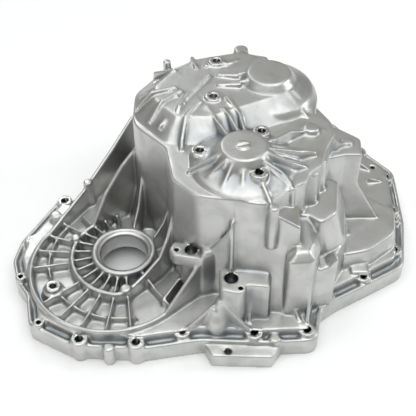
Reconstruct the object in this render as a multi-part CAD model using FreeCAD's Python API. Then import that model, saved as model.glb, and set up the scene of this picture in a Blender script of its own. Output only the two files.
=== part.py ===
import FreeCAD, Part
import math
import os

# Transmission case: one die casting, open below, that stands on its mating face (z = 0).
# +Z up, +Y towards the rear, millimetres. Plan places are measured from one datum near the
# middle of the case; the finished case is then centred on the middle of its footprint.

# Walls and levels
WALL = 5.0
RIB = 3.4
LAND = 17.0
FLANGE_TOP = 24.0
BOSS_TOP = 28.0
CHANNEL_FLOOR = 10.0
LIP = 5.0
PLINTH_INSET = 12.0
PLINTH_TOP = 31.0
BOWL_FLOOR = 23.0
RIM_TOP = 37.0
RING_TOP = 40.0
HUB_TOP = 45.0
DECK_TOP = 176.0
PLATEAU_RISE = 20.0
PLATEAU_TOP = DECK_TOP + PLATEAU_RISE
CUT = 1.0
SHARP_LIMIT = 1.2

# Output bore and its ribbed bowl
HUB = (-100.0, -35.0)
HUB_RADIUS = 38.0
BORE_RADIUS = 28.0
SEAL_RADIUS = 32.0
SEAL_DEPTH = 3.0
RING_RADIUS = 62.0
WEB_RADIUS = 90.0
BOWL_CENTRE = (-112.0, -50.0)
BOWL_RADIUS = 97.0
SPOKE_STEP = 14.7
SPOKE_START = 101.5

# Holes
BOLT_RADIUS = 4.5
BOLT_BOSS_RADIUS = 10.0
SMALL_BOLT_RADIUS = 3.0
SMALL_BOSS_RADIUS = 6.5
TOP_BOSS_RADIUS = 10.0
TOP_HOLE_RADIUS = 4.5
TOP_HOLE_DEPTH = 14.0
TOP_HOLE_WALL = 3.0


def vec(x, y, z=0.0):
    return FreeCAD.Vector(x, y, z)


def polar(centre, radius, angle):
    """Plan point at a distance and a direction in degrees from a centre."""
    turn = math.radians(angle)
    return (centre[0] + radius * math.cos(turn), centre[1] + radius * math.sin(turn))


def arc_corners(centre, radius, start, end):
    """Corner points (x, y, radius) whose rounded path is the arc from start to end degrees."""
    count = max(1, math.ceil(abs(end - start) / 80.0))
    half = (end - start) / count / 2.0
    reach = radius / math.cos(math.radians(half))
    return [polar(centre, reach, start + half * (2 * k + 1)) + (radius,) for k in range(count)]


def tangent_angle(centre, radius, point, side):
    """Direction from centre to where the line from point touches the circle, on one side."""
    away = math.hypot(point[0] - centre[0], point[1] - centre[1])
    towards = math.degrees(math.atan2(point[1] - centre[1], point[0] - centre[0]))
    return towards + side * math.degrees(math.acos(radius / away))


def moved_line(p, q, shift):
    """The line through p and q, moved to its left by shift: a point and a direction."""
    length = math.hypot(q[0] - p[0], q[1] - p[1])
    dx = (q[0] - p[0]) / length
    dy = (q[1] - p[1]) / length
    return (p[0] - dy * shift, p[1] + dx * shift, dx, dy)


def crossing(a, b):
    """Where two lines cross."""
    bend = a[2] * b[3] - a[3] * b[2]
    along = ((b[0] - a[0]) * b[3] - (b[1] - a[1]) * b[2]) / bend
    return (a[0] + a[2] * along, a[1] + a[3] * along)


def offset_corners(points, shift, closed):
    """Corner points moved to the left of the path by shift, each radius kept concentric."""
    count = len(points)
    result = []
    for k, point in enumerate(points):
        before = points[k - 1]
        after = points[(k + 1) % count]
        if not closed and k == 0:
            line = moved_line(point, after, shift)
            result.append((line[0], line[1], 0.0))
            continue
        if not closed and k == count - 1:
            line = moved_line(before, point, shift)
            length = math.hypot(point[0] - before[0], point[1] - before[1])
            result.append((line[0] + line[2] * length, line[1] + line[3] * length, 0.0))
            continue
        first = moved_line(before, point, shift)
        second = moved_line(point, after, shift)
        turn = first[2] * second[3] - first[3] * second[2]
        x, y = crossing(first, second)
        radius = point[2] - shift if turn > 0 else point[2] + shift
        result.append((x, y, max(radius, SHARP_LIMIT) if point[2] > 0 else 0.0))
    return result


def rounded_edges(points, z, closed):
    """Lines and arcs through corner points (x, y, radius) at height z."""
    count = len(points)
    entries = []
    for k, point in enumerate(points):
        corner = vec(point[0], point[1], z)
        if not closed and k in (0, count - 1):
            entries.append((corner, corner, corner))
            continue
        to_before = vec(points[k - 1][0], points[k - 1][1], z) - corner
        after = points[(k + 1) % count]
        to_after = vec(after[0], after[1], z) - corner
        half = to_before.getAngle(to_after) / 2.0
        if point[2] == 0:
            entries.append((corner, corner, corner))
            continue
        trim = point[2] / math.tan(half)
        to_before.normalize()
        to_after.normalize()
        inward = to_before + to_after
        inward.normalize()
        middle = corner + inward * (point[2] / math.sin(half) - point[2])
        entries.append((corner + to_before * trim, middle, corner + to_after * trim))
    edges = []
    steps = range(count) if closed else range(1, count)
    for k in steps:
        start, middle, end = entries[k]
        last = entries[k - 1][2]
        if last.distanceToPoint(start) > 0.01:
            edges.append(Part.LineSegment(last, start).toShape())
        if start.distanceToPoint(end) > 0.01:
            edges.append(Part.Arc(start, middle, end).toShape())
    return edges


def loop(points, z, inset=0.0):
    """Closed wire of a counter-clockwise outline at height z, drawn in by inset."""
    return Part.Wire(rounded_edges(offset_corners(points, inset, True), z, True))


def prism(points, bottom, top, inset=0.0):
    face = Part.Face(loop(points, bottom, inset))
    return face.extrude(vec(0, 0, top - bottom))


def drafted(points, bottom, top, foot, inset=0.0):
    """Prism with upright draft: its foot is wider than its top by foot all round."""
    wires = [loop(points, bottom, inset - foot), loop(points, top, inset)]
    return Part.makeLoft(wires, True, True)


def faceted(points, z, inset):
    """Places of a rounded outline at height z, with each round corner cut in two flats."""
    corners = offset_corners(points, inset, True)
    count = len(corners)
    places = []
    for k, point in enumerate(corners):
        corner = vec(point[0], point[1], z)
        if point[2] == 0:
            places.append(corner)
            continue
        before = vec(corners[k - 1][0], corners[k - 1][1], z) - corner
        after = vec(corners[(k + 1) % count][0], corners[(k + 1) % count][1], z) - corner
        half = before.getAngle(after) / 2.0
        before.normalize()
        after.normalize()
        trim = point[2] / math.tan(half)
        inward = before + after
        inward.normalize()
        bulge = point[2] / math.sin(half) - point[2]
        places += [corner + before * trim, corner + inward * bulge, corner + after * trim]
    return places


def flat_sided(points, bottom, top, foot, inset):
    """Drafted solid whose round corners are flats: its foot is wider than its top by foot."""
    low = faceted(points, bottom, inset - foot)
    high = faceted(points, top, inset)
    faces = [Part.Face(Part.makePolygon(ring + ring[:1])) for ring in (low, high)]
    for k in range(len(low)):
        side = [low[k - 1], low[k], high[k], high[k - 1], low[k - 1]]
        faces.append(Part.Face(Part.makePolygon(side)))
    return Part.Solid(Part.makeShell(faces))


def ribbon(points, width, bottom, top):
    """Wall of a given width along an open rounded path."""
    left = rounded_edges(offset_corners(points, width / 2.0, False), bottom, False)
    right = rounded_edges(offset_corners(points, -width / 2.0, False), bottom, False)
    ends = []
    for k in (0, -1):
        place = 0 if k == 0 else -1
        a = left[k].Vertexes[place].Point
        b = right[k].Vertexes[place].Point
        ends.append(Part.LineSegment(a, b).toShape())
    face = Part.Face(Part.Wire(Part.__sortEdges__(left + right + ends)))
    return face.extrude(vec(0, 0, top - bottom))


def disc(centre, radius, bottom, top, top_radius=None):
    if top_radius is None or abs(top_radius - radius) < 0.001:
        return Part.makeCylinder(radius, top - bottom, vec(centre[0], centre[1], bottom))
    return Part.makeCone(radius, top_radius, top - bottom, vec(centre[0], centre[1], bottom))


def turned(centre, profile):
    """Solid turned about the vertical line through centre from (radius, z) corners."""
    corners = [vec(centre[0] + r, centre[1], z) for r, z in profile]
    face = Part.Face(Part.makePolygon(corners + corners[:1]))
    return face.revolve(vec(centre[0], centre[1], 0), vec(0, 0, 1), 360)


def panel(start, end, thickness, foot, heights):
    """Upright wall from start to end in plan; heights are (share of length, z) along its top."""
    span = vec(end[0] - start[0], end[1] - start[1], 0)
    across = vec(-span.y, span.x, 0)
    across.normalize()
    base = vec(start[0], start[1], 0) - across * (thickness / 2.0)
    corners = [base + vec(0, 0, foot), base + span + vec(0, 0, foot)]
    for share, z in reversed(heights):
        corners.append(base + span * share + vec(0, 0, z))
    face = Part.Face(Part.makePolygon(corners + corners[:1]))
    return face.extrude(across * thickness)


def crest(points, thickness, foot):
    """Wall mitred at each bend, whose top runs through (x, y, z) points."""
    plan = [(x, y, 0.0) for x, y, z in points]
    left = offset_corners(plan, thickness / 2.0, False)
    right = offset_corners(plan, -thickness / 2.0, False)
    low_left = [vec(x, y, foot) for x, y, r in left]
    low_right = [vec(x, y, foot) for x, y, r in right]
    top_left = [vec(a[0], a[1], p[2]) for a, p in zip(left, points)]
    top_right = [vec(a[0], a[1], p[2]) for a, p in zip(right, points)]
    rings = [low_left + low_right[::-1], [low_left[0], top_left[0], top_right[0], low_right[0]],
             [low_left[-1], low_right[-1], top_right[-1], top_left[-1]]]
    for k in range(len(points) - 1):
        rings.append([low_left[k], low_left[k + 1], top_left[k + 1], top_left[k]])
        rings.append([low_right[k], top_right[k], top_right[k + 1], low_right[k + 1]])
        rings.append([top_left[k], top_left[k + 1], top_right[k + 1]])
        rings.append([top_left[k], top_right[k + 1], top_right[k]])
    faces = [Part.Face(Part.makePolygon(ring + ring[:1])) for ring in rings]
    return Part.Solid(Part.makeShell(faces))


def fuse_all(shapes):
    return shapes[0].multiFuse(shapes[1:]) if len(shapes) > 1 else shapes[0]


# Paths of the two tall walls that run from the bowl up to the body, in plan
RIM_RIGHT_RUN = 12.0
RIM_RIGHT_SIDE = -34.0
RIM_LEFT_RUN = 105.0
RIM_LEFT_SIDE = 14.0
RIM_LEFT_END = (BOWL_CENTRE[0] + RIM_LEFT_SIDE, BOWL_CENTRE[1] + BOWL_RADIUS + RIM_LEFT_RUN)
RIM_RIGHT_END = (BOWL_CENTRE[0] + BOWL_RADIUS + RIM_RIGHT_RUN, BOWL_CENTRE[1] + RIM_RIGHT_SIDE)
RIM_START = tangent_angle(BOWL_CENTRE, BOWL_RADIUS, RIM_LEFT_END, 1)
RIM_END = 360.0 + tangent_angle(BOWL_CENTRE, BOWL_RADIUS, RIM_RIGHT_END, -1)
RIM_PATH = [RIM_LEFT_END + (0,)] + arc_corners(BOWL_CENTRE, BOWL_RADIUS, RIM_START, RIM_END) + [
    RIM_RIGHT_END + (0,)]
RING_LEFT_END = (-84.0, 64.0)
RING_BEND = (-56.0, -58.0)
RING_RIGHT_END = (-37.0, -30.0)
RING_START = tangent_angle(HUB, RING_RADIUS, RING_LEFT_END, 1)
RING_LEAVE = 255.0
RING_RUN = 18.0
RING_EXIT = polar(HUB, RING_RADIUS, RING_LEAVE)
RING_TURN = (RING_EXIT[0] - RING_RUN * math.sin(math.radians(RING_LEAVE)),
             RING_EXIT[1] + RING_RUN * math.cos(math.radians(RING_LEAVE)), 20)
RING_PATH = [RING_LEFT_END + (0,)] + arc_corners(HUB, RING_RADIUS, RING_START, RING_LEAVE) + [
    RING_TURN, RING_BEND + (60,), RING_RIGHT_END + (0,)]

# How the crests of those walls rise to the body, as (share of the run, level)
RIM_LEFT_CREST = [(0, 100), (0.28, 77), (0.62, 53), (1, RIM_TOP)]
RIM_RIGHT_CREST = [(0, RIM_TOP), (0.45, 62), (1, 94)]
RING_LEFT_CREST = [(0, 126), (0.35, 108), (0.7, 80), (1, RING_TOP)]
RING_BEND_CREST = [(0.2, RING_TOP), (0.6, 47), (1, 58)]
RING_RIGHT_CREST = [(0, 58), (0.45, 76), (0.75, 98), (1, 124)]

# Plan outlines, counter-clockwise, each corner as (x, y, radius)
FLANGE_LINE = [
    (-236, -34, 20), (-226, -66, 20), (-212, -86, 30), (-202, -130, 16), (-150, -158, 40), (-70, -162, 40),
    (-8, -151, 20), (60, -154, 20), (121, -151, 14), (130, -108, 12), (152, -92, 12), (190, -70, 20),
    (236, -42, 26), (248, 30, 30), (250, 124, 24), (212, 172, 0), (184, 224, 0), (160, 247, 0),
    (96, 232, 0), (-30, 216, 0), (-106, 178, 0), (-146, 110, 0), (-176, 68, 0), (-194, 72, 0),
    (-231, -2, 26)]
DECK_LINE = [
    (-87, 40, 40), (-47, -2, 14), (-38, -52, 16), (-12, -78, 20), (28, -86, 60), (62, -92, 25),
    (86, -69, 10), (103, -58, 8), (109, -44, 8), (122, -32, 8), (130, -5, 8),
    (143, 22, 9), (140, 44, 9), (124, 60, 0), (130, 90, 20), (122, 128, 0), (86, 138, 0), (74, 174, 0),
    (45, 182, 0), (-20, 165, 0), (-60, 136, 28), (-87, 96, 30)]


CAP_LINE = [
    (-86, 48, 30), (-47, 2, 16), (8, 2, 20), (122, 58, 14), (131, 92, 16), (120, 128, 14), (70, 170, 20),
    (40, 180, 16), (-22, 163, 30), (-62, 132, 26), (-87, 92, 28)]
PILASTER_LINE = [(84, -121, 5), (112, -119, 10), (121, -98, 10), (114, -50, 0), (84, -50, 0)]
SHOULDER_LINE = [(79, -96, 0), (118, -104, 0), (129, -104, 14), (158, -54, 30), (162, 6, 0), (79, 24, 0)]
SHOULDER_RIM = [(90, -61, 0), (110, -61, 0), (123, -72, 6), (141, -56, 14), (147, -6, 0), (90, 14, 0)]
TURRET_LINE = [(120, 0, 0), (156, 11, 0), (175, 11, 0), (177, 40, 8), (150, 62, 12), (118, 62, 0)]
SUMP_LINE = [(138, -54, 0), (190, -42, 30), (224, -14, 26), (230, 26, 12), (200, 50, 0), (138, 56, 0)]
REAR_LINE = [
    (-78, 40, 0), (110, 30, 0), (160, 50, 0), (174, 100, 14), (160, 150, 16), (138, 192, 0), (90, 200, 0),
    (-24, 184, 0), (-76, 152, 0), (-88, 110, 0)]
LUG_LINE = [(-6, -148, 0), (4, -168, 0), (70, -170, 0), (85, -148, 0)]

# Levels and drafts of the housings
APRON_LEFT = 28.0
APRON_WIDTH = 69.0
APRON_SKEW = -9.0
APRON_BEND = 58.0
APRON_FOOT_Y = -110.0
APRON_TOP_Y = -86.0
APRON_LEVEL = DECK_TOP - 8.0
APRON_RIGHT_LEVEL = APRON_LEVEL - 20.0
PILASTER_LEVEL = 126.0
PILASTER_SLOPE = 9.0
PILASTER_WAIST = PILASTER_LEVEL - PILASTER_SLOPE
SHOULDER_WAIST = 88.0
SHOULDER_LEVEL = 130.0
SHOULDER_SLOPE = 13.0
TURRET_LEVEL = 154.0
SUMP_LEVEL = 52.0
SUMP_DRAFT = 8.0
REAR_LEVEL = 92.0
REAR_DRAFT = 22.0
CAP_SLOPE = 26.0
LUG_TOP = 8.0
BASE = 15.0
STAR = (38.0, -29.0)
STAR_PROFILE = [(58, 0), (54, 4), (33, 13), (25, 27)]
CAP = (71.0, 98.0)
CAP_PROFILE = [(58, 0), (52, 9), (33, 19), (25, 30)]

# Flange bolts, pads and lug, in plan
MAIN_BOLTS = [
    (-215, -4), (-142, -152), (-79, -156), (-29, -140), (51, -142), (110, -138), (137, -90), (183, -60),
    (226, -18), (234, 50), (236, 112), (208, 161), (172, 208), (110, 224), (44, 216), (-34, 204),
    (-102, 166), (-145, 98), (-185, 65)]
SMALL_BOLTS = [(-221, -62), (-190, -129), (235, 33)]
FLANGE_PADS = [(-109, -161), (74, -149), (232, 86)]
PAD_RADIUS = 6.5
PAD_TOP = 27.0
LUG_PAD = (7.0, -159.0)
LUG_PAD_RADIUS = 5.0
LUG_PAD_TOP = 9.5
LUG_HOLE = (22.0, -161.0)
LUG_HOLE_RADIUS = 4.0

# Ribs of the bowl: which spokes, and how far each class reaches
SPOKES_TO_RIM = [0, 1, 2, 3, 4, 5, 6, 8, 9, 10, 11, 12, 14]
SPOKES_TO_RING = [0, 1, 2, 3, 4, 5, 6, 7, 8, 9, 10, 11, 12, 14]
WEB_ARCS = [(145, 200), (222, 283)]
SENSOR_BOSS = (-178.0, -86.0)
SENSOR_BOSS_RADIUS = 13.0
SENSOR_COLLAR_RADIUS = 9.0
SENSOR_COLLAR = 3.0
SENSOR_HOLE_RADIUS = 4.0
SENSOR_HOLE_DEPTH = 12.0

# Bosses with holes on the top, as (x, y, top level)
TOP_BOSSES = [
    (6, 62, PLATEAU_TOP + 3), (59, 11, DECK_TOP + 14), (53, -60, DECK_TOP + 17), (-9, -17, DECK_TOP + 10),
    (10, 130, PLATEAU_TOP + 4), (-56, 98, PLATEAU_TOP - 6)]
# Round cast pads as (x, y, radius, foot level, top level)
POSTS = [
    (67, -98, 6, DECK_TOP - 56, DECK_TOP + 4), (-50, 141, 5, DECK_TOP - 26, DECK_TOP + 16),
    (41, 170, 9, DECK_TOP - 26, DECK_TOP + 14), (-68, 70, 6, DECK_TOP - 11, DECK_TOP + 5),
    (159, 32, 7, TURRET_LEVEL - 34, TURRET_LEVEL + 4), (-1, -83, 6, 24, 100), (-190, 28, 7, 20, 42),
    (-152, 66, 6, 20, 62), (-94, -91, 6.5, 20, 43), (-160, -12, 5.5, 20, 44)]
# The turret's boss, turned from (radius, height above the deck) corners, and the columns by the shelf
TURRET_BOSS = (116.0, 27.0)
TURRET_BOSS_PROFILE = [(0, -26), (22, -26), (20, -12), (9, -4), (9, 6), (0, 6)]
SIDE_COLUMNS = [(112, -36, 10), (124, -16, 9)]
SIDE_COLUMN_TOP = DECK_TOP - 5.0
SIDE_COLUMN_FOOT = 120.0
SIDE_COLUMN_DRAFT = 3.0
# Ribs of the star dome, as (start, end, height at the start and at the end above the deck)
STAR_RIBS = [
    ((37, -50), (35, -83), 26, 2), ((27, -50), (11, -78), 26, 2), ((20, -46), (-5, -58), 26, 4),
    ((14, -38), (-22, -44), 26, 6), ((55, -68), (65, -92), 14, 2)]
# Ribs of the plateau, with their heights above it
PLATEAU_RIBS = [
    ((-40, 73), (-79, 80), 3, -9), ((-34, 64), (-72, 58), 3, -8), ((-27, 51), (-55, 22), 3, -9),
    ((2, 104), (-26, 56), 6, 4), ((-38, 114), (-66, 125), 3, -9), ((10, 106), (46, 101), 0, 8),
    ((10, 86), (46, 86), 0, 8), ((20, 124), (36, 138), 4, 1), ((88, 76), (116, 50), 4, -20)]
DOME_RIB = 4.5
RIB_ROOT = 8.0
BENT_RIB_ROOT = 20.0
# Ribs that bend: each runs through its crest points (x, y, height above the deck)
BENT_RIBS = [
    [(-8, 55, 24), (-25, 26, 22), (-29, 0, 10), (-29, -8, 3)],
    [(57, -21, 26), (70, -15, 24), (90, 11, 14), (112, 26, 2)],
    [(60, -30, 26), (69, -31, 25), (95, -22, 14), (113, -14, 4), (124, -15, -6)],
    [(58, -36, 26), (66, -39, 24), (90, -39, 12), (106, -34, 2), (112, -36, -6)],
    [(50, -44, 26), (75, -60, 10), (86, -66, 1)],
    [(26, -14, 24), (22, -9, 24), (10, 21, 20), (-1, 46, 21)],
    [(33, -9, 25), (33, -1, 24), (24, 29, 21), (17, 42, 22)],
    [(42, -8, 25), (40, 3, 23), (36, 33, 20), (21, 63, 23)],
    [(118, 34, 1), (137, 25, 0), (145, 20, -10), (157, 30, -21)]]


# Ports, blocks and fins of the front wall
LEVEL_PORT = (-19.0, -77.0)
LEVEL_PORT_TOP = 92.0
LEVEL_PORT_RADIUS = 12.0
LEVEL_PORT_LENGTH = 52.0
LEVEL_PLATE_THICKNESS = 16.0
LEVEL_PLATE = [(-44, -76, 7), (-38, -86, 7), (-8, -92, 0), (-4, -70, 0), (-38, -64, 0)]
SPEED_PLATE = [(12, -100, 0), (13, -130, 7), (38, -136, 8), (44, -118, 8), (34, -96, 0)]
SPEED_PORT_TOP = 86.0
PORT_HOLES = [
    (LEVEL_PORT, 7.0, LEVEL_PORT_TOP), ((-35, -77), 2.6, LEVEL_PORT_TOP),
    ((25, -113), 7.5, SPEED_PORT_TOP), ((35, -127), 2.6, SPEED_PORT_TOP)]
PORT_DEPTH = 26.0
FRONT_BLOCK = [(40, -123, 0), (67, -126, 0), (67, -100, 0), (40, -100, 0)]
FRONT_BLOCK_TOP = 86.0
NOSE = (14.0, -126.0)
NOSE_RADIUS = 15.0
NOSE_TIP_RADIUS = 5.0
NOSE_FOOT = 20.0
NOSE_TOP = 66.0
TAB_LINE = [(168, -62, 0), (189, -62, 0), (189, -44, 0), (168, -44, 0)]
TAB_TOP = 35.0
DRAIN_HOLE = (221.0, 127.0)
# Upright webs, as (start, end, thickness, levels along the top)
FRONT_WEBS = [
    ((2, -83), (26, -95), 4, [(0, 98), (1, 148)]),
    ((26, -78), (25, -107), 4, [(0, 152), (0.5, 150), (1, 92)]),
    ((14, -124), (-26, -140), 4, [(0, 66), (1, 30)]),
    ((16, -130), (48, -142), 4, [(0, 68), (1, 31)]),
    ((46, -122), (46, -134), 4, [(0, 80), (0.4, 40), (1, 31)]),
    ((112, -115), (110, -134), 4, [(0, 72), (1, 30)]),
    ((97, -117), (103, -131), 3.5, [(0, 44), (1, 31)]),
    ((119, -96), (141, -90), 15, [(0, 66), (0.5, 88), (1, 102)]),
    ((174, 13), (207, 13), 4, [(0, 112), (1, 52)]),
    ((157, 5), (168, -18), 4, [(0, 94), (1, 52)]),
    ((210, 97), (228, 99), 4, [(0, 40), (1, 33)]),
    ((203, 127), (216, 120), 4, [(0, 40), (1, 33)]),
    ((-24, -62), (-52, -104), 4, [(0, 46), (1, 36)]),
    ((-66, -14), (-43, 0), 4, [(0, 44), (0.5, 62), (1, 96)]),
    ((-91, 2), (-79, 34), 4, [(0, 44), (0.5, 64), (1, 104)]),
    ((10, -84), (-8, -90), 6, [(0, 100), (1, 96)])]


def flange():
    """Bolting flange: a channel between its lip and the body, bridged by the bolt bosses."""
    skirt = prism(FLANGE_LINE, 0, FLANGE_TOP)
    lip_inside = prism(FLANGE_LINE, CHANNEL_FLOOR, FLANGE_TOP + CUT, LIP)
    solids = [skirt.cut(lip_inside), prism(FLANGE_LINE, 0, PLINTH_TOP, PLINTH_INSET)]
    solids += [disc(p, BOLT_BOSS_RADIUS, 0, BOSS_TOP) for p in MAIN_BOLTS]
    solids += [disc(p, SMALL_BOSS_RADIUS, 0, BOSS_TOP) for p in SMALL_BOLTS]
    solids += [disc(p, PAD_RADIUS, 0, PAD_TOP) for p in FLANGE_PADS]
    solids.append(prism(LUG_LINE, 0, LUG_TOP))
    solids.append(disc(LUG_PAD, LUG_PAD_RADIUS, 0, LUG_PAD_TOP))
    return solids


def apron(inset):
    """Leaning front wall below the star dome."""
    back = APRON_TOP_Y + 30.0
    profile = [(back, BASE), (back, APRON_LEVEL - inset), (APRON_TOP_Y + inset, APRON_LEVEL - inset),
               (APRON_FOOT_Y + inset, PLINTH_TOP - inset), (APRON_FOOT_Y + inset, BASE)]
    corners = [vec(APRON_LEFT + inset, y, z) for y, z in profile]
    face = Part.Face(Part.makePolygon(corners + corners[:1]))
    wall = face.extrude(vec(APRON_WIDTH - 2 * inset, APRON_SKEW, 0))
    right = APRON_LEFT + APRON_WIDTH + CUT
    over = [(APRON_BEND, APRON_LEVEL - inset), (right, APRON_RIGHT_LEVEL - inset),
            (right, APRON_LEVEL + CUT), (APRON_BEND, APRON_LEVEL + CUT)]
    corners = [vec(x, APRON_FOOT_Y, z) for x, z in over]
    face = Part.Face(Part.makePolygon(corners + corners[:1]))
    return wall.cut(face.extrude(vec(0, back - APRON_FOOT_Y + CUT, 0)))


def outside():
    """The standing housings and their domed tops."""
    return [
        prism(DECK_LINE, BASE, DECK_TOP),
        apron(0),
        prism(PILASTER_LINE, BASE, PILASTER_WAIST),
        drafted(PILASTER_LINE, PILASTER_WAIST, PILASTER_LEVEL, PILASTER_SLOPE, PILASTER_SLOPE),
        prism(SHOULDER_LINE, BASE, SHOULDER_WAIST),
        drafted(SHOULDER_RIM, SHOULDER_WAIST, SHOULDER_LEVEL, SHOULDER_SLOPE),
        prism(TURRET_LINE, BASE, TURRET_LEVEL),
        drafted(SUMP_LINE, BASE, SUMP_LEVEL, SUMP_DRAFT),
        flat_sided(REAR_LINE, BASE, REAR_LEVEL, REAR_DRAFT, 0),
        flat_sided(CAP_LINE, DECK_TOP - CUT, PLATEAU_TOP, CAP_SLOPE, CAP_SLOPE),
        dome(STAR, STAR_PROFILE),
        dome(CAP, CAP_PROFILE),
    ]


def dome(centre, profile):
    """Round dome on the deck, turned from (radius, height above the deck) corners."""
    outline = [(0, -WALL), (profile[0][0], -WALL)] + profile + [(0, profile[-1][1])]
    return turned(centre, [(r, DECK_TOP + z) for r, z in outline])


def inside():
    """The hollow under the housings, open at the mating face."""
    low = -CUT
    solids = [
        flat_sided(DECK_LINE, low, DECK_TOP - WALL, 0, WALL),
        apron(WALL),
        flat_sided(PILASTER_LINE, BASE, PILASTER_WAIST, 0, WALL),
        flat_sided(SHOULDER_LINE, BASE, SHOULDER_WAIST - WALL, 0, WALL),
        flat_sided(SHOULDER_RIM, SHOULDER_WAIST - WALL, SHOULDER_LEVEL - WALL, SHOULDER_SLOPE, WALL),
        flat_sided(TURRET_LINE, BASE, TURRET_LEVEL - WALL, 0, WALL),
        flat_sided(SUMP_LINE, BASE, SUMP_LEVEL - WALL, SUMP_DRAFT, WALL),
        flat_sided(REAR_LINE, BASE, REAR_LEVEL - WALL, REAR_DRAFT, WALL),
        flat_sided(CAP_LINE, DECK_TOP - 3 * WALL, PLATEAU_TOP - WALL, CAP_SLOPE, CAP_SLOPE + WALL),
        disc(STAR, STAR_PROFILE[-1][0] - WALL, low, DECK_TOP + STAR_PROFILE[-1][1] - WALL),
        disc(CAP, CAP_PROFILE[-1][0] - WALL, low, DECK_TOP + CAP_PROFILE[-1][1] - WALL),
    ]
    under_plinth = flat_sided(FLANGE_LINE, low, PLINTH_TOP - WALL, 0, LAND)
    bowl_roof = prism(bowl_outline(WALL / 2.0), BOWL_FLOOR - WALL, PLINTH_TOP)
    solids.append(under_plinth.cut(bowl_roof))
    wells = [disc((x, y), TOP_HOLE_RADIUS + TOP_HOLE_WALL, z - TOP_HOLE_DEPTH - TOP_HOLE_WALL, z)
             for x, y, z in TOP_BOSSES]
    return fuse_all(solids).cut(wells)


def bowl_outline(grow):
    """Closed outline of the bowl up to its tall rim, grown by grow."""
    tail = [(30.0, -60.0, 5.0), (30.0, 120.0, 5.0)]
    path = [RIM_LEFT_END + (1.0,)] + RIM_PATH[1:-1] + [RIM_RIGHT_END + (1.0,)] + tail
    return offset_corners(path, -grow, True)


def bowl_features():
    """Rim, ring, web arcs, spokes and the bored hub, standing on the bowl floor."""
    low = BOWL_FLOOR - WALL
    solids = [
        ribbon(RIM_PATH, WALL, low, RIM_TOP),
        ribbon(RING_PATH, WALL, low, RING_TOP),
        disc(HUB, HUB_RADIUS, low, HUB_TOP),
        panel(RIM_PATH[0], polar(BOWL_CENTRE, BOWL_RADIUS, RIM_START), WALL, low, RIM_LEFT_CREST),
        panel(polar(BOWL_CENTRE, BOWL_RADIUS, RIM_END), RIM_RIGHT_END, WALL, low, RIM_RIGHT_CREST),
        panel(RING_LEFT_END, polar(HUB, RING_RADIUS, RING_START), WALL, low, RING_LEFT_CREST),
        panel(RING_TURN, RING_BEND, WALL, low, RING_BEND_CREST),
        panel(RING_BEND, RING_RIGHT_END, WALL, low, RING_RIGHT_CREST),
        disc(SENSOR_BOSS, SENSOR_BOSS_RADIUS, low, RIM_TOP - 2),
        disc(SENSOR_BOSS, SENSOR_COLLAR_RADIUS, low, RIM_TOP + SENSOR_COLLAR),
    ]
    for k in SPOKES_TO_RING:
        angle = SPOKE_START + SPOKE_STEP * k
        solids.append(panel(polar(HUB, HUB_RADIUS - 1, angle), polar(HUB, RING_RADIUS, angle), RIB, low,
                            [(0, HUB_TOP - 4), (1, RING_TOP - 2)]))
    for k in SPOKES_TO_RIM:
        angle = SPOKE_START + SPOKE_STEP * k
        solids.append(panel(polar(HUB, RING_RADIUS, angle), polar(HUB, rim_reach(angle), angle), RIB, low,
                            [(0, RING_TOP - 4), (1, RIM_TOP - 2)]))
    for start, end in WEB_ARCS:
        a = polar(HUB, WEB_RADIUS, start) + (0,)
        b = polar(HUB, WEB_RADIUS, end) + (0,)
        solids.append(ribbon([a] + arc_corners(HUB, WEB_RADIUS, start, end) + [b], RIB, low, RIM_TOP - 5))
    return solids


def rim_reach(angle):
    """Distance from the hub to the rim wall in one direction."""
    turn = math.radians(angle)
    dx = HUB[0] - BOWL_CENTRE[0]
    dy = HUB[1] - BOWL_CENTRE[1]
    along = dx * math.cos(turn) + dy * math.sin(turn)
    return -along + math.sqrt(along * along - dx * dx - dy * dy + BOWL_RADIUS * BOWL_RADIUS)


def top_details():
    """Bosses, pads and ribs on the domed tops."""
    solids = [disc((x, y), TOP_BOSS_RADIUS, DECK_TOP - RIB_ROOT, z) for x, y, z in TOP_BOSSES]
    solids += [disc((x, y), r, low, z) for x, y, r, low, z in POSTS]
    for base, ribs in ((DECK_TOP, STAR_RIBS), (PLATEAU_TOP, PLATEAU_RIBS)):
        for start, end, z0, z1 in ribs:
            levels = [(0, base + z0), (1, base + z1)]
            solids.append(panel(start, end, DOME_RIB, DECK_TOP - RIB_ROOT, levels))
    for rib in BENT_RIBS:
        points = [(x, y, DECK_TOP + z) for x, y, z in rib]
        solids.append(crest(points, DOME_RIB, min(points[-1][2], DECK_TOP) - BENT_RIB_ROOT))
    solids.append(turned(TURRET_BOSS, [(r, DECK_TOP + z) for r, z in TURRET_BOSS_PROFILE]))
    return solids


def front_details():
    """Sensor ports, webs, columns and fins on the front wall and round the turret."""
    solids = [
        disc(LEVEL_PORT, LEVEL_PORT_RADIUS, LEVEL_PORT_TOP - LEVEL_PORT_LENGTH, LEVEL_PORT_TOP),
        prism(LEVEL_PLATE, LEVEL_PORT_TOP - LEVEL_PLATE_THICKNESS, LEVEL_PORT_TOP),
        prism(SPEED_PLATE, BASE, SPEED_PORT_TOP),
        prism(FRONT_BLOCK, BASE, FRONT_BLOCK_TOP),
        disc(NOSE, NOSE_RADIUS, NOSE_FOOT, NOSE_TOP, NOSE_TIP_RADIUS),
        prism(TAB_LINE, BASE, TAB_TOP),
    ]
    for start, end, thickness, heights in FRONT_WEBS:
        solids.append(panel(start, end, thickness, BASE, heights))
    for x, y, radius in SIDE_COLUMNS:
        solids.append(disc((x, y), radius, SIDE_COLUMN_FOOT, SIDE_COLUMN_TOP, radius - SIDE_COLUMN_DRAFT))
    return solids


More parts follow.
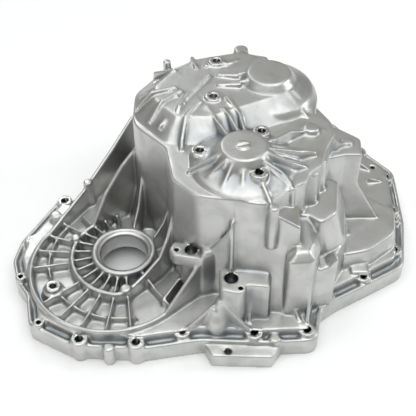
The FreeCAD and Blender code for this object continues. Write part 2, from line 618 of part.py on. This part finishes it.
def holes():
    """Bolt, sensor and lifting holes and the output bore with its seal seat."""
    cuts = [disc(p, BOLT_RADIUS, -CUT, BOSS_TOP + CUT) for p in MAIN_BOLTS]
    cuts += [disc(p, SMALL_BOLT_RADIUS, -CUT, BOSS_TOP + CUT) for p in SMALL_BOLTS]
    cuts += [disc((x, y), TOP_HOLE_RADIUS, z - TOP_HOLE_DEPTH, z + CUT) for x, y, z in TOP_BOSSES]
    cuts.append(disc(HUB, BORE_RADIUS, 0, HUB_TOP + CUT))
    cuts.append(disc(HUB, SEAL_RADIUS, HUB_TOP - SEAL_DEPTH, HUB_TOP + CUT))
    collar_top = RIM_TOP + SENSOR_COLLAR
    cuts.append(disc(SENSOR_BOSS, SENSOR_HOLE_RADIUS, collar_top - SENSOR_HOLE_DEPTH, collar_top + CUT))
    cuts.append(disc(LUG_HOLE, LUG_HOLE_RADIUS, -CUT, LUG_TOP + CUT))
    cuts.append(disc(DRAIN_HOLE, SMALL_BOLT_RADIUS, -CUT, PLINTH_TOP + CUT))
    for centre, radius, top in PORT_HOLES:
        cuts.append(disc(centre, radius, top - PORT_DEPTH, top + CUT))
    return cuts


def assemble():
    """One casting: housings less the bowl, plus its ribs and details, less the hollow and holes."""
    low_parts = fuse_all(flange()).removeSplitter()
    bowl = prism(bowl_outline(0), BOWL_FLOOR, PLINTH_TOP + CUT)
    case = fuse_all([low_parts.cut(bowl)] + outside()).removeSplitter()
    case = case.fuse(bowl_features()).removeSplitter()
    case = case.fuse(front_details()).removeSplitter()
    case = case.fuse(top_details())
    return case.cut(inside()).cut(holes()).removeSplitter()


def centred(shape):
    """The shape with the middle of its footprint on the origin."""
    box = shape.optimalBoundingBox(False)
    shape.translate(vec(-box.Center.x, -box.Center.y))
    return shape


os.makedirs("parts", exist_ok=True)
case = centred(assemble())
case.exportStep("parts/transmission_case.step")
box = case.optimalBoundingBox(False)
print("valid:", case.isValid(), "solids:", len(case.Solids))
print("length", round(box.XLength, 2), "width", round(box.YLength, 2), "height", round(box.ZLength, 2))
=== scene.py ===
import math

import bpy
import numpy as np
import openvdb
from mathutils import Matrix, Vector


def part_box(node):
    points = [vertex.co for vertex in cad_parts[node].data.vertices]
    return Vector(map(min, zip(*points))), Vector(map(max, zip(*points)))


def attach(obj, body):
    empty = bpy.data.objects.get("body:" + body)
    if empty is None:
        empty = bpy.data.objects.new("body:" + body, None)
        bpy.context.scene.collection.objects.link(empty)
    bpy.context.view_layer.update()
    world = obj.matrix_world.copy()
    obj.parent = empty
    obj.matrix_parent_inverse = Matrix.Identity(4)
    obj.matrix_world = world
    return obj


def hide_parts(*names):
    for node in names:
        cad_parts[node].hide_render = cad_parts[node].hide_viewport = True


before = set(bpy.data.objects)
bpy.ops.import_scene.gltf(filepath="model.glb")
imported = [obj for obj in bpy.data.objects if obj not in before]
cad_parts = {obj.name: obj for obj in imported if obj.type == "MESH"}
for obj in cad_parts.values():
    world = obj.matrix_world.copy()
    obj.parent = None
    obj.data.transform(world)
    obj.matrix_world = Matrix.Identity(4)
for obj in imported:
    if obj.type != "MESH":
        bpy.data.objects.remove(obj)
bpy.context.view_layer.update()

# The frame's sizes are metres, and MM turns millimetres into them
MM = 0.001
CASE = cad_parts["transmission_case"]
CASE_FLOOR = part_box("transmission_case")[0][2]

# The solid's corners are the same where they agree to this many decimals of a metre
CORNER_DIGITS = 7

# Camera: the photograph's high front view, in a square frame
PHOTO_SIDE = 416
PHOTO_FOCAL = 800
CAMERA_AIM = (-7.2 * MM, -38.5 * MM, 80 * MM)
CAMERA_DISTANCE = 950 * MM
CAMERA_ELEVATION = math.radians(45)
CAMERA_FAR = 20

# Voxel skin of the casting: its cell, the cells on each side of the surface that hold a distance, and
# the blurs in cells that give its fillets, worn edges and the mask of its hollows, which paints shade
# into the hollows and a highlight onto the edges. A blur is cut off at BLUR_REACH times its size, and the
# FLOOR_LAYERS at the mating face stay exact.
VOXEL = 1.0 * MM
BAND = 9
BLUR_REACH = 2.5
FILLET_BLUR = 2.8
EDGE_BLUR = 1.4
CAVITY_BLUR = 3.2
FLOOR_LAYERS = 2

# Steps over which the field's slope is taken, and the least step and slope that are divided by
SLOPE_STEP = 0.6 * VOXEL
LEAST_STEP = 1e-3
LEAST_SLOPE = 1e-6

# Thinning of the skin: the triangles kept, and the weights of its hidden and shown sides
SKIN_TRIANGLES = 196000
HIDDEN_SHARE = 3e-5
HIDDEN_WEIGHT = 1.0
SHOWN_WEIGHT = 0.4
HIDDEN_DEPTH = 2 * VOXEL

# From here to the metal, places and lengths are millimetres and each reach is a number of cells.
# Plan places are measured from a datum near the case's middle.
DATUM = np.array((7.151, 38.5))
BOLTS = [
    (-215, -4), (-142, -152), (-79, -156), (-29, -140), (51, -142), (110, -138), (137, -90), (183, -60),
    (226, -18), (234, 50), (236, 112), (208, 161), (172, 208), (110, 224), (44, 216), (-34, 204),
    (-102, 166), (-145, 98), (-185, 65)]
SMALL_BOLTS = [(-221, -62), (-190, -129), (235, 33)]

# The bosses' faces stand a little proud of the rim: (radius, hole's radius, level) of large and small
# ones. A boss gets its proud face only where the nearest metal over it is BOSS_AIR away.
BOSS_FACE = (9.6, 4.5, 29.2)
SMALL_FACE = (6.6, 2.6, 28.8)
BOSS_AIR = 4.5
BOSS_REACH = 14

# Machined seats round the holes, as (x, y, radius, level). Their finish goes down by SEAT_DEPTH and up
# by SEAT_ABOVE from the level, and stops SEAT_EDGE inside the radius.
BOLT_SEAT = (8.6, 29)
SMALL_SEAT = (5.4, 29)
SEATS = [(*place, *BOLT_SEAT) for place in BOLTS] + [(*place, *SMALL_SEAT) for place in SMALL_BOLTS]
SEATS += [
    (6, 62, 8.6, 199), (59, 11, 8.6, 190), (53, -60, 8.6, 193), (-9, -17, 8.6, 186), (10, 130, 8.6, 200),
    (-56, 98, 8.6, 190), (-19, -77, 10, 92), (-35, -77, 4.5, 92), (25, -113, 10, 86), (35, -127, 4.5, 86),
    (-178, -86, 8, 40), (22, -161, 6, 8)]
SEAT_DEPTH = 22
SEAT_ABOVE = 2
SEAT_EDGE = 0.3

# The rim's channel: its outline is taken at CHANNEL_CUT, and its floor is raised to CHANNEL_LEVEL
CHANNEL_CUT = 7
CHANNEL_LEVEL = 19

# Turned swellings, each with its place and the (radius, level) down its side: the bell between the two
# front webs, and the star's bent rib down the shoulder's wall
SWELLINGS = [
    ((10, -127), [(3, 57), (7, 53), (9, 46), (13, 38), (16, 28), (17, 8)]),
    ((88, -68), [(2.6, 179), (3.3, 176), (3.6, 150)])]
SWELLING_REACH = 24

# Small cast ribs of the domes: (x, y, z) of both ends of each crest
RIBS = [
    ((-36, 80, 200), (-66, 67, 201)), ((-66, 67, 201), (-84, 59, 183)), ((-30, 75, 200), (-53, 51, 201)),
    ((-53, 51, 201), (-67, 34, 183)), ((-23, 68, 200), (-33, 40, 201)), ((-33, 40, 201), (-41, 12, 183)),
    ((-14, 117, 200), (-20, 150, 193)), ((-3, 120, 200), (4, 147, 194)),
    ((10, 104, 199), (36, 99, 202)), ((10, 84, 199), (38, 82, 202)),
    ((50, -44, 204), (78, -55, 189)), ((78, -55, 189), (88, -66, 178)),
    ((59, -37, 204), (98, -26, 181)), ((64, -23, 200), (118, -14, 181))]
RIB_HALF = 2.5
RIB_SUNK = 3
RIB_REACH = 6

# Slotted disc in the middle of the star dome: STAR_SLOT has half the slot's length, half its width and
# its depth
STAR_PLACE = (37, -30, 205)
STAR_RADIUS = 7.5
STAR_HALF_HEIGHT = 2
STAR_SLOT = (6.0, 1.4, 2.2)
STAR_SLOT_TURN = math.radians(20)
STAR_REACH = 12

# Cast metal: its colour with a painted highlight on edges and painted shade in hollows, the tint of its
# dull clouds, and the ranges of the masks over which they change
EDGE_HIGHLIGHT_METAL = (0.60, 0.60, 0.585, 1)
HOLLOW_SHADE_METAL = (0.21, 0.235, 0.255, 1)
DULL_TINT = (0.88, 0.885, 0.89, 1)
SHADE_AND_HIGHLIGHT_RANGE = (-0.6, 1.2)
DULL_RANGE = (0.42, 0.66)
SATIN_RANGE = (0.3, 0.7)
SATIN_ROUGHNESS = (0.30, 0.44)
MACHINED_ROUGHNESS = 0.24
GRAIN_SCALE = 700.0
CLOUD_SCALE = 34.0
WAVE_SHARE = 1.5
GRAIN_STRENGTH = 0.35
GRAIN_DEPTH = 0.5 * MM

# Studio: the floor, the even light from all round, and the soft boxes as name, place and side in metres,
# power in watts and tint
FLOOR_SIDE = 6.0
FLOOR_GAP = 0.2 * MM
FLOOR_COLOUR = (0.98, 0.98, 0.98, 1)
FLOOR_ROUGHNESS = 0.9
ROOM_COLOUR = (1, 0.985, 0.95, 1)
ROOM_STRENGTH = 0.39
SOFT_BOXES = [
    ("top_box", (0.1, -0.35, 2.2), 2.8, 40, (0.96, 0.985, 1)),
    ("rear_box", (-0.7, 1.6, 1.5), 0.7, 6, (0.94, 0.98, 1)),
    ("right_box", (1.7, 0.1, 0.9), 0.5, 6, (0.92, 0.97, 1)),
    ("front_box", (-1.4, -1.1, 0.8), 0.4, 3.5, (1, 1, 1))]


# Arrays and meshes

def blurred(values, sigma):
    """Gaussian mean of a block of values: exp(-d^2 / 2 sigma^2) weights along each axis in turn."""
    reach = int(math.ceil(BLUR_REACH * sigma))
    weights = np.exp(-0.5 * (np.arange(reach + 1) / sigma) ** 2).astype(np.float32)
    weights /= weights[0] + 2 * weights[1:].sum()
    for axis in range(3):
        size = values.shape[axis]
        margins = [(reach, reach) if k == axis else (0, 0) for k in range(3)]
        wide = np.moveaxis(np.pad(values, margins, mode="edge"), axis, 0)
        total = weights[0] * wide[reach:reach + size]
        for step in range(1, reach + 1):
            total += weights[step] * wide[reach - step:reach - step + size]
            total += weights[step] * wide[reach + step:reach + step + size]
        values = np.moveaxis(total, 0, axis)
    return values


def new_mesh(name, points, faces, material):
    """Mesh from an (n, 3) array of places and an (m, 3) or (m, 4) array of corners, smooth shaded."""
    mesh = bpy.data.meshes.new(name)
    mesh.vertices.add(len(points))
    mesh.vertices.foreach_set("co", np.asarray(points, dtype=np.float32).ravel())
    mesh.loops.add(faces.size)
    mesh.loops.foreach_set("vertex_index", faces.astype(np.int32).ravel())
    mesh.polygons.add(len(faces))
    mesh.polygons.foreach_set("loop_start", np.arange(0, faces.size, faces.shape[1], dtype=np.int32))
    mesh.update(calc_edges=True)
    mesh.polygons.foreach_set("use_smooth", np.ones(len(faces), dtype=bool))
    mesh.materials.append(material)
    return mesh


def new_piece(name, mesh):
    """Object of the casting that rides on its one body."""
    piece = bpy.data.objects.new(name, mesh)
    bpy.context.collection.objects.link(piece)
    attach(piece, "root")
    return piece


def case_triangles():
    """Corner places and triangles of the case's solid, with its doubled corners made one."""
    mesh = CASE.data
    places = np.empty(len(mesh.vertices) * 3, dtype=np.float32)
    mesh.vertices.foreach_get("co", places)
    mesh.calc_loop_triangles()
    corners = np.empty(len(mesh.loop_triangles) * 3, dtype=np.int32)
    mesh.loop_triangles.foreach_get("vertices", corners)
    single, index = np.unique(np.round(places.reshape(-1, 3), CORNER_DIGITS), axis=0, return_inverse=True)
    return single, index.ravel()[corners].reshape(-1, 3)


# The casting's distance, and the details added to it

def in_frame(x, y, z):
    """A place in millimetres from the datum, as metres in the frame."""
    return np.array((x - DATUM[0], y - DATUM[1], z)) * MM


def in_block(x, y, z, low):
    """A place in millimetres from the datum, as cells of the block whose first cell is low."""
    return in_frame(x, y, z) / VOXEL - low


def cells(length):
    """A length in millimetres as a number of cells."""
    return length * MM / VOXEL


def heights(block):
    """The number of each layer of a block's cells, as one column that all its columns share."""
    return np.arange(block.shape[2], dtype=np.float32)[None, None, :]


def window(block, middle, reach):
    """The columns of a block within reach of a place: their slices, and their offsets along x and y."""
    near = tuple(slice(max(int(middle[k]) - reach, 0), min(int(middle[k]) + reach + 1, block.shape[k]))
                 for k in range(2))
    across = np.arange(near[0].start, near[0].stop, dtype=np.float32)[:, None, None] - middle[0]
    along = np.arange(near[1].start, near[1].stop, dtype=np.float32)[None, :, None] - middle[1]
    return near, across, along


def exact_block():
    """Signed distance to the case in voxels, and the index of the block's first cell."""
    points, triangles = case_triangles()
    grid = openvdb.FloatGrid.createLevelSetFromPolygons(
        points, triangles=triangles.astype(np.uint32),
        transform=openvdb.createLinearTransform(voxelSize=VOXEL), halfWidth=BAND)
    low, high = grid.evalActiveVoxelBoundingBox()
    exact = np.empty(tuple(high[k] - low[k] + 1 for k in range(3)), dtype=np.float32)
    grid.copyToArray(exact, ijk=low)
    return exact / np.float32(VOXEL), np.array(low)


def tops(exact):
    """Height in cells of the highest metal of each column, mixed between the two cells it lies in."""
    metal = exact < 0
    last = metal.shape[2] - 1 - metal[:, :, ::-1].argmax(axis=2)
    last = np.where(metal.any(axis=2), np.minimum(last, metal.shape[2] - 2), 0)[:, :, None]
    inner = np.take_along_axis(exact, last, axis=2)
    outer = np.take_along_axis(exact, last + 1, axis=2)
    return (last + np.clip(inner / np.minimum(inner - outer, -LEAST_STEP), 0, 1))[:, :, 0]


def add_channel_floor(exact, low):
    """Shallower rim channel: the outline at CHANNEL_CUT is drawn straight up to CHANNEL_LEVEL.

    Only the layers from the cut to the new floor's band change.
    """
    cut = int(round(cells(CHANNEL_CUT))) - low[2]
    top = cells(CHANNEL_LEVEL) - low[2]
    slab = slice(cut, int(top) + BAND - 1)
    outline = exact[:, :, cut][:, :, None]
    prism = np.maximum(outline, heights(exact)[:, :, slab] - top)
    exact[:, :, slab] = np.minimum(exact[:, :, slab], prism)


def add_boss_faces(exact, low):
    """Proud faces of the flange bosses: a post from the mating face up, less the hole through it."""
    height = heights(exact)
    bottom = CASE_FLOOR / VOXEL - low[2]
    clear = cells(BOSS_AIR)
    for places, (radius, hole, level) in ((BOLTS, BOSS_FACE), (SMALL_BOLTS, SMALL_FACE)):
        for x, y in places:
            middle = in_block(x, y, level, low)
            air = exact[tuple(np.round(middle + (0, 0, clear + 1)).astype(int))]
            if air < clear:
                continue
            near, across, along = window(exact, middle, BOSS_REACH)
            away = np.hypot(across, along)
            post = np.maximum(away - cells(radius), np.maximum(bottom - height, height - middle[2]))
            bored = np.maximum(np.minimum(exact[near], post), cells(hole) - away)
            exact[near] = np.where(height < middle[2] + BAND, bored, exact[near])


def add_swellings(exact, low):
    """Turned swellings: at each level the radius runs straight from one point of the side to the next."""
    layers = heights(exact)
    for (x, y), profile in SWELLINGS:
        near, across, along = window(exact, in_block(x, y, 0, low), SWELLING_REACH)
        radii, levels = np.array(profile[::-1], dtype=np.float32).T * MM / VOXEL
        levels = levels - low[2]
        side = np.interp(layers.ravel(), levels, radii, left=-BAND, right=-BAND)[None, None, :]
        swelling = np.maximum(np.hypot(across, along) - side, levels[0] - layers)
        exact[near] = np.minimum(exact[near], swelling)


def add_ribs(exact, low):
    """Small ribs: each is a slab about its plan line, under the straight crest between its two ends.

    A cell lies way along the line and side across it; the slab is RIB_HALF thick on each side,
    ends square at both ends, and goes down RIB_SUNK into the metal under it.
    """
    height = heights(exact)
    above = tops(exact)
    for start, end in RIBS:
        first = in_block(*start, low)
        last = in_block(*end, low)
        corner = np.floor(np.minimum(first, last)[:2] - RIB_REACH).astype(int)
        limit = np.ceil(np.maximum(first, last)[:2] + RIB_REACH).astype(int)
        part = (slice(corner[0], limit[0]), slice(corner[1], limit[1]))
        across = np.arange(corner[0], limit[0], dtype=np.float32)[:, None] - first[0]
        along = np.arange(corner[1], limit[1], dtype=np.float32)[None, :] - first[1]
        run = (last - first)[:2]
        length = float(np.hypot(*run))
        way = (across * run[0] + along * run[1]) / length
        side = np.abs(across * run[1] - along * run[0]) / length
        crest = first[2] + (last[2] - first[2]) * way / length
        plan = np.maximum(side - cells(RIB_HALF), np.maximum(-way, way - length))[:, :, None]
        foot = above[part][:, :, None] - cells(RIB_SUNK)
        rib = np.maximum(plan, np.maximum(height - crest[:, :, None], foot - height))
        exact[part] = np.minimum(exact[part], rib)


def add_star_disc(exact, low):
    """Slotted disc of the star dome: a low round plate, less a box turned by STAR_SLOT_TURN."""
    height = heights(exact)
    middle = in_block(*STAR_PLACE, low)
    near, across, along = window(exact, middle, STAR_REACH)
    half_height = cells(STAR_HALF_HEIGHT)
    rise = np.abs(height - middle[2] + half_height) - half_height
    disc = np.maximum(np.hypot(across, along) - cells(STAR_RADIUS), rise)
    half_length, half_width, depth = (cells(size) for size in STAR_SLOT)
    cosine, sine = math.cos(STAR_SLOT_TURN), math.sin(STAR_SLOT_TURN)
    ends = np.abs(across * cosine + along * sine) - half_length
    sides = np.abs(along * cosine - across * sine) - half_width
    slot = np.maximum(np.maximum(ends, sides), middle[2] - depth - height)
    slot = np.maximum(slot, height - middle[2] - 2 * half_height)
    exact[near] = np.maximum(np.minimum(exact[near], disc), -slot)


def worn_block(exact, low):
    """The case's distance with fillets in its hollows and softened edges, but crisp machined seats.

    Where the blurred distance is the smaller one, the corner is hollow and metal is added;
    after that, where a shorter blur is the larger one, the edge stands out and is worn off.
    Round a seat the exact distance is mixed back in, and the FLOOR_LAYERS at the mating face keep it.
    """
    filled = np.minimum(exact, blurred(exact, FILLET_BLUR))
    worn = np.maximum(filled, blurred(filled, EDGE_BLUR))
    floor = int(round(CASE_FLOOR / VOXEL)) - low[2]
    worn[:, :, :floor + FLOOR_LAYERS] = exact[:, :, :floor + FLOOR_LAYERS]
    for x, y, radius, level in SEATS:
        middle = in_block(x, y, level, low)
        reach = cells(radius) + 1
        first = np.floor(middle[:2] - reach).astype(int)
        last = np.ceil(middle[:2] + reach).astype(int) + 1
        deep = max(int(middle[2] - cells(SEAT_DEPTH)), 0)
        high = int(middle[2] + cells(SEAT_ABOVE)) + 1
        part = (slice(first[0], last[0]), slice(first[1], last[1]), slice(deep, high))
        across, along = np.ogrid[first[0]:last[0], first[1]:last[1]]
        away = np.hypot(across - middle[0], along - middle[1])
        share = np.clip(reach - away, 0, 1)[:, :, None].astype(np.float32)
        worn[part] += (exact[part] - worn[part]) * share
    return worn


def sampled(values, low, points):
    """Values of a block at places in metres, mixed from the eight nearest cells."""
    at = points / VOXEL - low
    base = np.clip(np.floor(at).astype(np.int32), 0, np.array(values.shape) - 2)
    part = (at - base).astype(np.float32)
    total = np.zeros(len(points), dtype=np.float32)
    for corner in np.ndindex(2, 2, 2):
        shift = np.array(corner)
        weight = np.prod(np.where(shift == 1, part, 1 - part), axis=1)
        cell = base + shift
        total += weight * values[cell[:, 0], cell[:, 1], cell[:, 2]]
    return total


def ceiling(exact, low):
    """Height in metres of the first metal above the mating face, for each column of voxels."""
    metal = exact < 0
    first = metal.argmax(axis=2).astype(np.float32)
    first[~metal.any(axis=2)] = 0
    return (first + low[2]) * np.float32(VOXEL)


def skin_mesh(field, low, hidden_below, material):
    """Mesh of the field's zero surface, thinned to the piece's share of triangles.

    The weights let the hollow under the case, which is seldom seen, be thinned further.
    """
    grid = openvdb.FloatGrid(float(BAND))
    grid.transform = openvdb.createLinearTransform(voxelSize=VOXEL)
    grid.copyFromArray(np.ascontiguousarray(field), ijk=tuple(int(v) for v in low))
    points, _, quads = grid.convertToPolygons(isovalue=0.0, adaptivity=0.0)
    faces = np.concatenate([quads[:, [0, 1, 2]], quads[:, [0, 2, 3]]])
    full = bpy.data.objects.new("full_skin", new_mesh("full_skin", points, faces, material))
    bpy.context.collection.objects.link(full)
    cell = np.round(points[:, :2] / VOXEL).astype(int) - low[:2]
    cell = np.clip(cell, 0, np.array(hidden_below.shape) - 1)
    hidden = points[:, 2] < hidden_below[cell[:, 0], cell[:, 1]] + HIDDEN_DEPTH
    group = full.vertex_groups.new(name="thinned")
    group.add(np.flatnonzero(hidden).tolist(), HIDDEN_WEIGHT, "REPLACE")
    group.add(np.flatnonzero(~hidden).tolist(), SHOWN_WEIGHT, "REPLACE")
    thin = full.modifiers.new("thin", "DECIMATE")
    thin.ratio = SKIN_TRIANGLES / len(faces)
    thin.vertex_group = group.name
    thin.vertex_group_factor = HIDDEN_SHARE
    view = bpy.context.evaluated_depsgraph_get()
    mesh = bpy.data.meshes.new_from_object(full.evaluated_get(view))
    bpy.data.objects.remove(full)
    return mesh


def vertex_places(mesh):
    """Places of a mesh's vertices as an (n, 3) array in metres."""
    places = np.empty(len(mesh.vertices) * 3, dtype=np.float32)
    mesh.vertices.foreach_get("co", places)
    return places.reshape(-1, 3)


def smooth_normals(mesh, field, low):
    """Vertex normals along the field's slope, so that the thinned mesh shades as the full one."""
    places = vertex_places(mesh)
    slope = np.empty_like(places)
    for axis in range(3):
        step = np.zeros(3, dtype=np.float32)
        step[axis] = SLOPE_STEP
        slope[:, axis] = sampled(field, low, places + step) - sampled(field, low, places - step)
    slope /= np.maximum(np.linalg.norm(slope, axis=1), LEAST_SLOPE)[:, None]
    mesh.normals_split_custom_set_from_vertices(slope.tolist())


def mark_skin(mesh, worn, low):
    """Vertex attributes: how hollow the skin is close by, which paints shade in hollows and a highlight
    on edges, and where it is machined.
    """
    places = vertex_places(mesh)
    machined = places[:, 2] < CASE_FLOOR + SEAT_EDGE * MM
    for x, y, radius, level in SEATS:
        middle = in_frame(x, y, level)
        away = np.hypot(places[:, 0] - middle[0], places[:, 1] - middle[1])
        rise = places[:, 2] - middle[2]
        finished = (rise > -SEAT_DEPTH * MM) & (rise < SEAT_ABOVE * MM)
        machined |= finished & (away < (radius - SEAT_EDGE) * MM)
    # The hollow mark paints shade into hollows and a highlight onto edges
    marks = {
        "hollow": -sampled(blurred(worn, CAVITY_BLUR), low, places),
        "machined": machined.astype(np.float32)}
    for name, values in marks.items():
        attribute = mesh.attributes.new(name, "FLOAT", "POINT")
        attribute.data.foreach_set("value", values)


# Materials

def new_nodes(tree):
    """Short ways to add a node of a tree with values, and to link two sockets."""
    def add(kind, **values):
        node = tree.nodes.new(kind)
        for name, value in values.items():
            if name in node.inputs:
                node.inputs[name].default_value = value
            else:
                setattr(node, name, value)
        return node
    return add, tree.links.new


def ramp(add, link, value, span, ends=(0.0, 1.0)):
    """Smooth change from one end to the other while a value goes over its span."""
    node = add("ShaderNodeMapRange", interpolation_type="SMOOTHSTEP")
    node.inputs["From Min"].default_value, node.inputs["From Max"].default_value = span
    node.inputs["To Min"].default_value, node.inputs["To Max"].default_value = ends
    link(value, node.inputs["Value"])
    return node.outputs["Result"]


def cast_grain_group():
    """Die-cast skin: fine grain and slow waves as a height, and a cloudy mask of duller metal."""
    tree = bpy.data.node_groups.new("cast_grain", "ShaderNodeTree")
    tree.interface.new_socket("Grain Scale", in_out="INPUT", socket_type="NodeSocketFloat")
    tree.interface.new_socket("Cloud Scale", in_out="INPUT", socket_type="NodeSocketFloat")
    tree.interface.new_socket("Height", in_out="OUTPUT", socket_type="NodeSocketFloat")
    tree.interface.new_socket("Cloud", in_out="OUTPUT", socket_type="NodeSocketFloat")
    add, link = new_nodes(tree)
    sockets = add("NodeGroupInput")
    result = add("NodeGroupOutput")
    place = add("ShaderNodeTexCoord").outputs["Object"]
    grain = add("ShaderNodeTexNoise", Detail=3.0, Roughness=0.6)
    link(place, grain.inputs["Vector"])
    link(sockets.outputs["Grain Scale"], grain.inputs["Scale"])
    cloud = add("ShaderNodeTexNoise", Detail=4.0, Roughness=0.55, Distortion=0.6)
    link(place, cloud.inputs["Vector"])
    link(sockets.outputs["Cloud Scale"], cloud.inputs["Scale"])
    mix = add("ShaderNodeMath", operation="MULTIPLY_ADD")
    link(cloud.outputs["Fac"], mix.inputs[0])
    mix.inputs[1].default_value = WAVE_SHARE
    link(grain.outputs["Fac"], mix.inputs[2])
    link(mix.outputs["Value"], result.inputs["Height"])
    link(cloud.outputs["Fac"], result.inputs["Cloud"])
    return tree


def cast_metal(grain_group):
    """Satin die-cast aluminium: paler on its edges as a painted highlight, greyer and duller in its
    hollows as painted shade.
    """
    material = bpy.data.materials.new("cast_aluminium")
    material.use_nodes = True
    tree = material.node_tree
    add, link = new_nodes(tree)
    shader = tree.nodes["Principled BSDF"]
    shader.inputs["Metallic"].default_value = 1.0
    hollow = add("ShaderNodeAttribute", attribute_name="hollow").outputs["Fac"]
    machined = add("ShaderNodeAttribute", attribute_name="machined").outputs["Fac"]
    grain = add("ShaderNodeGroup", node_tree=grain_group)
    grain.inputs["Grain Scale"].default_value = GRAIN_SCALE
    grain.inputs["Cloud Scale"].default_value = CLOUD_SCALE

    # The hollow mask mixes the colour from a painted highlight on edges to painted shade in hollows
    depth = ramp(add, link, hollow, SHADE_AND_HIGHLIGHT_RANGE)
    colour = add("ShaderNodeMix", data_type="RGBA")
    colour.inputs["A"].default_value = EDGE_HIGHLIGHT_METAL
    colour.inputs["B"].default_value = HOLLOW_SHADE_METAL
    link(depth, colour.inputs["Factor"])
    clouded = add("ShaderNodeMix", data_type="RGBA", blend_type="MULTIPLY")
    clouded.inputs["B"].default_value = DULL_TINT
    link(colour.outputs["Result"], clouded.inputs["A"])
    link(ramp(add, link, grain.outputs["Cloud"], DULL_RANGE), clouded.inputs["Factor"])
    link(clouded.outputs["Result"], shader.inputs["Base Color"])

    rough = ramp(add, link, grain.outputs["Cloud"], SATIN_RANGE, SATIN_ROUGHNESS)
    fine = add("ShaderNodeMix", data_type="FLOAT")
    link(machined, fine.inputs["Factor"])
    link(rough, fine.inputs["A"])
    fine.inputs["B"].default_value = MACHINED_ROUGHNESS
    link(fine.outputs["Result"], shader.inputs["Roughness"])

    bump = add("ShaderNodeBump", Strength=GRAIN_STRENGTH, Distance=GRAIN_DEPTH)
    link(grain.outputs["Height"], bump.inputs["Height"])
    link(bump.outputs["Normal"], shader.inputs["Normal"])
    return material


# Stage

def pale_floor():
    """Large plain floor under the case, at its mating face."""
    signs = np.array([(-1, -1, 0), (1, -1, 0), (1, 1, 0), (-1, 1, 0)])
    corners = signs * FLOOR_SIDE + (0, 0, CASE_FLOOR - FLOOR_GAP)
    material = bpy.data.materials.new("pale_floor")
    material.use_nodes = True
    shader = material.node_tree.nodes["Principled BSDF"]
    shader.inputs["Base Color"].default_value = FLOOR_COLOUR
    shader.inputs["Roughness"].default_value = FLOOR_ROUGHNESS
    mesh = new_mesh("floor", corners, np.array([(0, 1, 2, 3)]), material)
    floor = bpy.data.objects.new("floor", mesh)
    bpy.context.collection.objects.link(floor)


def soft_light(name, place, size, power, tint):
    """Square soft box that looks at the case."""
    lamp = bpy.data.lights.new(name, "AREA")
    lamp.size = size
    lamp.energy = power
    lamp.color = tint
    holder = bpy.data.objects.new(name, lamp)
    holder.location = place
    holder.rotation_euler = (Vector(CAMERA_AIM) - Vector(place)).to_track_quat("-Z", "Y").to_euler()
    bpy.context.collection.objects.link(holder)


def studio():
    """Even warm grey light, a wide soft box overhead and smaller ones behind, right and front left."""
    bpy.context.scene.view_settings.view_transform = "Standard"
    world = bpy.data.worlds.new("studio")
    bpy.context.scene.world = world
    world.use_nodes = True
    background = world.node_tree.nodes["Background"]
    background.inputs["Color"].default_value = ROOM_COLOUR
    background.inputs["Strength"].default_value = ROOM_STRENGTH
    for name, place, size, power, tint in SOFT_BOXES:
        soft_light(name, place, size, power, tint)


def camera():
    """The photograph's camera: square frame, focal length in pixels of that frame."""
    lens = bpy.data.cameras.new("camera")
    lens.sensor_fit = "AUTO"
    lens.angle = 2 * math.atan(PHOTO_SIDE / 2 / PHOTO_FOCAL)
    lens.clip_end = CAMERA_FAR
    holder = bpy.data.objects.new("camera", lens)
    aim = Vector(CAMERA_AIM)
    back = Vector((0, -math.cos(CAMERA_ELEVATION), math.sin(CAMERA_ELEVATION)))
    holder.location = aim + back * CAMERA_DISTANCE
    holder.rotation_euler = (-back).to_track_quat("-Z", "Y").to_euler()
    bpy.context.collection.objects.link(holder)
    bpy.context.scene.camera = holder


# The dressed case

metal = cast_metal(cast_grain_group())
exact, low = exact_block()
add_channel_floor(exact, low)
add_boss_faces(exact, low)
add_swellings(exact, low)
add_ribs(exact, low)
add_star_disc(exact, low)
worn = worn_block(exact, low)
skin = skin_mesh(worn, low, ceiling(exact, low), metal)
mark_skin(skin, worn, low)
smooth_normals(skin, worn, low)
skin_piece = new_piece("case_skin", skin)
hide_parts("transmission_case")

pale_floor()
studio()
camera()
